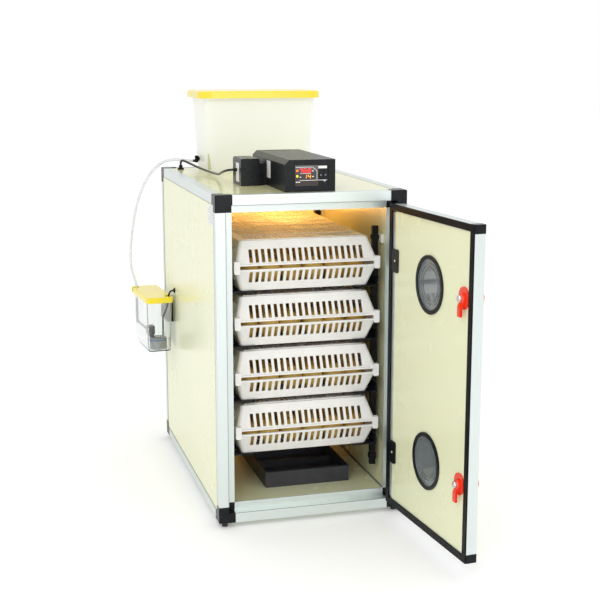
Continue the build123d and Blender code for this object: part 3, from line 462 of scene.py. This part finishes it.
def make_mist_mark():
    """The blue ring on the mist maker's body."""
    low, high = low_high("mist_maker")
    middle = (low + high) / 2
    radius = min(high.x - low.x, high.y - low.y) / 2
    mesh = bmesh.new()
    turn = Matrix.Translation((middle.x, middle.y, low.z + 0.55 * (high.z - low.z)))
    add_lathe(mesh, [(radius - 0.0012, -0.0015), (radius + 0.0002, -0.0015), (radius + 0.0002, 0.0015),
                     (radius - 0.0012, 0.0015), (radius - 0.0012, -0.0015)], 32, turn)
    bmesh.ops.remove_doubles(mesh, verts=mesh.verts, dist=1e-6)
    piece("mist_maker_mark", mesh, blue_mark, "cabinet", smooth=False)


make_tank_water()


# ---------------------------------------------------------------- display, labels and fittings

SEGMENTS = {"1": "bc", "4": "bcfg", "6": "acdefg", "7": "abc", "8": "abcdefg"}


def add_stroke(mesh, start, end, width, y, thick=0.0002):
    """A thin flat bar between two (x, z) points, facing the front."""
    run = Vector((end[0] - start[0], end[1] - start[1]))
    turn = Matrix.Translation(((start[0] + end[0]) / 2, y, (start[1] + end[1]) / 2))
    turn = turn @ Matrix.Rotation(-math.atan2(run.y, run.x), 4, "Y")
    half = run.length / 2 + width * 0.35
    add_box(mesh, (-half, -thick, -width / 2), (half, 0, width / 2), turn)


def add_digit(mesh, sign, x, z, wide, tall, y):
    """A seven-bar digit that leans to the right."""
    lean = 0.14
    spots = {}
    for level, up in (("t", 1), ("m", 0), ("b", -1)):
        for side, across in (("l", -1), ("r", 1)):
            spots[level + side] = (x + across * wide / 2 + lean * up * tall / 2, z + up * tall / 2)
    bars = {"a": ("tl", "tr"), "b": ("tr", "mr"), "c": ("mr", "br"), "d": ("bl", "br"), "e": ("ml", "bl"),
            "f": ("tl", "ml"), "g": ("ml", "mr")}
    for bar in SEGMENTS[sign]:
        first, last = bars[bar]
        add_stroke(mesh, spots[first], spots[last], wide * 0.22, y)


def make_display():
    floor = low_high("control_box_front")[0].y + 0.0012
    glass = floor - 0.0005
    mesh = bmesh.new()
    add_box(mesh, (-0.0278, glass, 0.6802), (0.0194, floor, 0.7208))
    piece("display_window", mesh, window_dark, "cabinet")
    front = glass - 0.00005
    mesh = bmesh.new()
    for sign, x in (("7", -0.0162), ("6", -0.0078), ("8", 0.0006)):
        add_digit(mesh, sign, x, 0.7103, 0.0046, 0.0072, front)
    piece("display_temperature", mesh, red_glow, "cabinet")
    mesh = bmesh.new()
    for sign, x in (("1", -0.0070), ("4", 0.0010)):
        add_digit(mesh, sign, x, 0.6988, 0.0046, 0.0066, front)
    piece("display_humidity", mesh, amber_glow, "cabinet")
    for name, z, material in (("lamp_heat", 0.7103, orange_glow), ("lamp_turn", 0.6997, yellow_glow)):
        mesh = bmesh.new()
        add_lathe(mesh, [(0.0, 0.0006), (0.0016, 0.0003), (0.0022, 0.0)], 20,
                  facing((-0.0236, front, z), (0, -1, 0)))
        piece(name, mesh, material, "cabinet", smooth=True)
    mesh = bmesh.new()
    outline = [(-0.0262, 0.7172), (0.0078, 0.7172), (0.0166, 0.7093), (0.0166, 0.6915)]
    for start, end in zip(outline, outline[1:]):
        add_stroke(mesh, start, end, 0.0009, front)
    add_stroke(mesh, (-0.0180, 0.6914), (0.0188, 0.6914), 0.0010, front)
    add_stroke(mesh, (-0.0180, 0.7047), (0.0040, 0.7047), 0.0007, front)
    for x, z, wide in ((-0.0246, 0.6882, 0.0030), (-0.0196, 0.6882, 0.0028), (0.0084, 0.6988, 0.0024),
                       (-0.0172, 0.6978, 0.0018), (0.0078, 0.7095, 0.0020)):
        add_stroke(mesh, (x - wide / 2, z), (x + wide / 2, z), 0.0018, front)
    piece("display_lines", mesh, label_white, "cabinet")
    mesh = bmesh.new()
    add_stroke(mesh, (0.0212, 0.7168), (0.0352, 0.7168), 0.0052, floor - 0.0001, 0.0004)
    piece("display_plate", mesh, label_white, "cabinet", bevel=0.0010, segments=3)
    mesh = bmesh.new()
    add_stroke(mesh, (0.0200, 0.6914), (0.0372, 0.6914), 0.0010, floor - 0.0001)
    add_stroke(mesh, (0.0312, 0.6898), (0.0332, 0.6898), 0.0020, floor - 0.0001)
    piece("display_underline", mesh, label_white, "cabinet")
    for key, body in (("button_up", "up_key"), ("button_down", "down_key")):
        low, high = low_high(key)
        mesh = bmesh.new()
        turn = facing(((low.x + high.x) / 2, low.y + 0.0001, (low.z + high.z) / 2), (0, -1, 0))
        add_lathe(mesh, [(0.0011, 0.0002), (0.0016, 0.0002), (0.0016, 0.0), (0.0011, 0.0), (0.0011, 0.0002)],
                  24, turn)
        piece(key + "_mark", mesh, button_grey, body)


def make_labels():
    """Blank stickers on the left faces of the control box, the adapter and the cabinet."""
    for name, node, y, z in (("control_box_label", "control_box_shell", (-0.176, -0.146), (0.686, 0.721)),
                             ("adapter_label", "adapter_box", (-0.138, -0.110), (0.676, 0.715)),
                             ("cabinet_label", "left_panel", (-0.296, -0.238), (0.608, 0.646))):
        x = low_high(node)[0].x if node != "adapter_box" else -0.106
        mesh = bmesh.new()
        add_box(mesh, (x - 0.00025, y[0], z[0]), (x - 0.00002, y[1], z[1]))
        piece(name, mesh, label_white, "cabinet")
    x = low_high("left_panel")[0].x - 0.00028
    mesh = bmesh.new()
    for row in range(7):
        z = 0.613 + row * 0.0048
        add_box(mesh, (x - 0.00006, -0.292, z), (x, -0.248 if row % 3 else -0.262, z + 0.0012))
    piece("cabinet_label_bars", mesh, button_grey, "cabinet")


def make_latch_nuts():
    """A hexagon nut on a washer with the spindle's tip, on each latch's inner end."""
    for joint in frame["joints"]:
        if joint["name"] not in ("latch_upper_turn", "latch_lower_turn"):
            continue
        axis = Vector(joint["axis"])
        at = Vector(joint["pos_m"]) + axis * 0.0182
        turn = facing(at, axis)
        mesh = bmesh.new()
        add_lathe(mesh, [(0.0034, 0.0), (0.0066, 0.0), (0.0068, 0.0034), (0.0060, 0.0046), (0.0034, 0.0047),
                         (0.0034, 0.0)], 6, turn)
        add_lathe(mesh, [(0.0, 0.0062), (0.0026, 0.0060), (0.0033, 0.0052), (0.0033, 0.0002), (0.0, 0.0002)],
                  24, turn)
        bmesh.ops.remove_doubles(mesh, verts=mesh.verts, dist=1e-7)
        bmesh.ops.recalc_face_normals(mesh, faces=mesh.faces)
        piece(joint["child"] + "_nut", mesh, steel, joint["child"])


def make_rear_fittings():
    """Heater strip, cable clip and screws on the rear wall, and the sealing bead on the cabinet's floor."""
    wall = low_high("rear_panel")[0].y
    mesh = bmesh.new()
    add_box(mesh, (0.071, wall - 0.009, 0.557), (0.085, wall - 0.0001, 0.566))
    piece("cable_clip", mesh, black_moulded, "cabinet", bevel=0.001)
    mesh = bmesh.new()
    add_box(mesh, (0.101, wall - 0.008, 0.545), (0.106, wall - 0.0001, 0.6495))
    piece("strip_edge", mesh, black_coated, "cabinet", bevel=0.0005)
    mesh = bmesh.new()
    add_box(mesh, (0.1065, wall - 0.006, 0.545), (0.128, wall - 0.0001, 0.6495))
    piece("heater_strip", mesh, strip_beige, "cabinet", bevel=0.0008)
    low = low_high("fan_housing")[0]
    mesh = bmesh.new()
    for x in (-0.086, -0.004):
        add_lathe(mesh, [(0.0, 0.0018), (0.0022, 0.0015), (0.0030, 0.0004), (0.0030, 0.0)], 20,
                  facing((x, low.y - 0.0001, low.z + 0.004), (0, -1, 0)))
    piece("hood_screws", mesh, screw_steel, "cabinet", smooth=True)
    floor = low_high("floor_panel")[1].z
    side = low_high("right_panel")[0].x
    mesh = bmesh.new()
    add_box(mesh, (side - 0.0034, -0.292, floor + 0.0001), (side - 0.0001, 0.296, floor + 0.0020))
    piece("floor_seal", mesh, seal_and_shade_grey, "cabinet", bevel=0.0005)


def make_bar_seam_shade():
    """Fine dark strips where the front bars' faces end and the stop lips and panels begin: partly the real
    joint lines, partly painted shade in the steps there.
    """
    low, high = low_high("frame_profiles")
    bar = 0.020
    front, left = low.y, low.x
    mesh = bmesh.new()
    for x in (low.x + bar, high.x - bar):
        add_box(mesh, (x - 0.0006, front - 0.00015, 0.0445), (x + 0.0006, front + 0.0003, 0.6355))
    for z in (0.030, 0.650):
        add_box(mesh, (-0.160, front - 0.00015, z - 0.0006), (0.160, front + 0.0003, z + 0.0006))
        add_box(mesh, (left - 0.00015, -0.286, z - 0.0006), (left + 0.0003, 0.286, z + 0.0006))
    for y in (-0.300, 0.300):
        add_box(mesh, (left - 0.00015, y - 0.0006, 0.0445), (left + 0.0003, y + 0.0006, 0.6355))
    # joint lines with painted shade in the bars' steps
    piece("bar_seam_shade", mesh, seal_and_shade_grey, "cabinet")


DOOR_OPEN = math.radians(95.0)      # the door's modelled pose


def make_hinge_screws():
    """A round-headed screw in the middle of each hinge's plate inside the door."""
    hinge = [joint for joint in frame["joints"] if joint["name"] == "door_hinge"][0]
    turn = Matrix.Translation(Vector(hinge["pos_m"])) @ Matrix.Rotation(DOOR_OPEN, 4, "Z")
    mesh = bmesh.new()
    for z in (0.144, 0.536):
        at = turn @ Vector((-0.0325, 0.0261, z - hinge["pos_m"][2]))
        axis = turn.to_3x3() @ Vector((0, 1, 0))
        add_lathe(mesh, [(0.0, 0.0016), (0.0018, 0.0013), (0.0027, 0.0004), (0.0028, 0.0)], 24,
                  facing(at, axis))
    piece("hinge_screws", mesh, screw_steel, "door", smooth=True)


make_mist_mark()
make_bar_seam_shade()
make_hinge_screws()
make_display()
make_labels()
make_latch_nuts()
make_rear_fittings()


# ---------------------------------------------------------------- floor and light


def make_stage():
    """A wide pale floor just under the feet."""
    mesh = bmesh.new()
    size = 14.0
    corners = [(-size, -size), (size, -size), (size, size), (-size, size)]
    mesh.faces.new([mesh.verts.new((x, y, -0.0005)) for x, y in corners])
    data = bpy.data.meshes.new("floor")
    mesh.to_mesh(data)
    mesh.free()
    pale = surface("pale_floor", (0.93, 0.93, 0.93), (0.95, 0.95, 0.95), (0.5, 0.6), 3.0, bump=0.0)
    data.materials.append(pale)
    shader = pale.node_tree.nodes["Principled BSDF"]
    shader.inputs["Emission Color"].default_value = (1, 1, 1, 1)
    shader.inputs["Emission Strength"].default_value = 0.12
    shader.inputs["Specular IOR Level"].default_value = 0.1
    floor = bpy.data.objects.new("floor", data)
    bpy.context.collection.objects.link(floor)


def place_light(name, data, at, target, power, colour):
    """Link a light and aim it from one point at another."""
    data.energy = power
    data.color = colour
    light = bpy.data.objects.new(name, data)
    bpy.context.collection.objects.link(light)
    light.location = at
    light.rotation_euler = (Vector(target) - Vector(at)).to_track_quat("-Z", "Y").to_euler()


def area_light(name, at, target, size, power, colour=(1, 1, 1)):
    data = bpy.data.lights.new(name, "AREA")
    data.shape = "RECTANGLE"
    data.size, data.size_y = size
    place_light(name, data, at, target, power, colour)


def spot_light(name, at, target, cone, power, colour):
    data = bpy.data.lights.new(name, "SPOT")
    data.spot_size = math.radians(cone)
    data.spot_blend = 0.9
    data.shadow_soft_size = 0.02
    place_light(name, data, at, target, power, colour)


def make_light():
    """A white room with soft front lights, and the lamp's warm light inside the cabinet."""
    world = bpy.data.worlds.new("studio")
    world.use_nodes = True
    background = world.node_tree.nodes["Background"]
    # a white room, a little dimmer on its left side
    tree = world.node_tree
    where = tree.nodes.new("ShaderNodeTexCoord")
    split = tree.nodes.new("ShaderNodeSeparateXYZ")
    fade = tree.nodes.new("ShaderNodeMapRange")
    fade.inputs["From Min"].default_value, fade.inputs["From Max"].default_value = -1.0, -0.1
    fade.inputs["To Min"].default_value, fade.inputs["To Max"].default_value = 0.80, 1.0
    tree.links.new(where.outputs["Generated"], split.inputs["Vector"])
    tree.links.new(split.outputs["X"], fade.inputs["Value"])
    tree.links.new(fade.outputs["Result"], background.inputs["Color"])
    background.inputs["Strength"].default_value = 1.0
    bpy.context.scene.world = world
    area_light("key", (-1.6, -3.0, 2.6), (0, -0.1, 0.4), (1.8, 1.8), 26)
    area_light("front", (0.4, -3.4, 1.0), (0.1, -0.3, 0.35), (1.2, 1.2), 10)
    area_light("warm_ceiling", (0.02, 0.10, 0.644), (0.02, 0.101, 0.3), (0.24, 0.24), 0.17, (1.0, 0.52, 0.15))
    spot_light("warm_rear", (0.03, -0.16, 0.634), (0.05, 0.299, 0.60), 46, 4.0, (1.0, 0.56, 0.16))
    area_light("warm_below", (0.0, 0.240, 0.36), (0.0, -0.1, 0.36), (0.24, 0.44), 6.0, (1.0, 0.45, 0.12))
    bpy.context.scene.view_settings.view_transform = "Standard"


make_stage()
make_light()
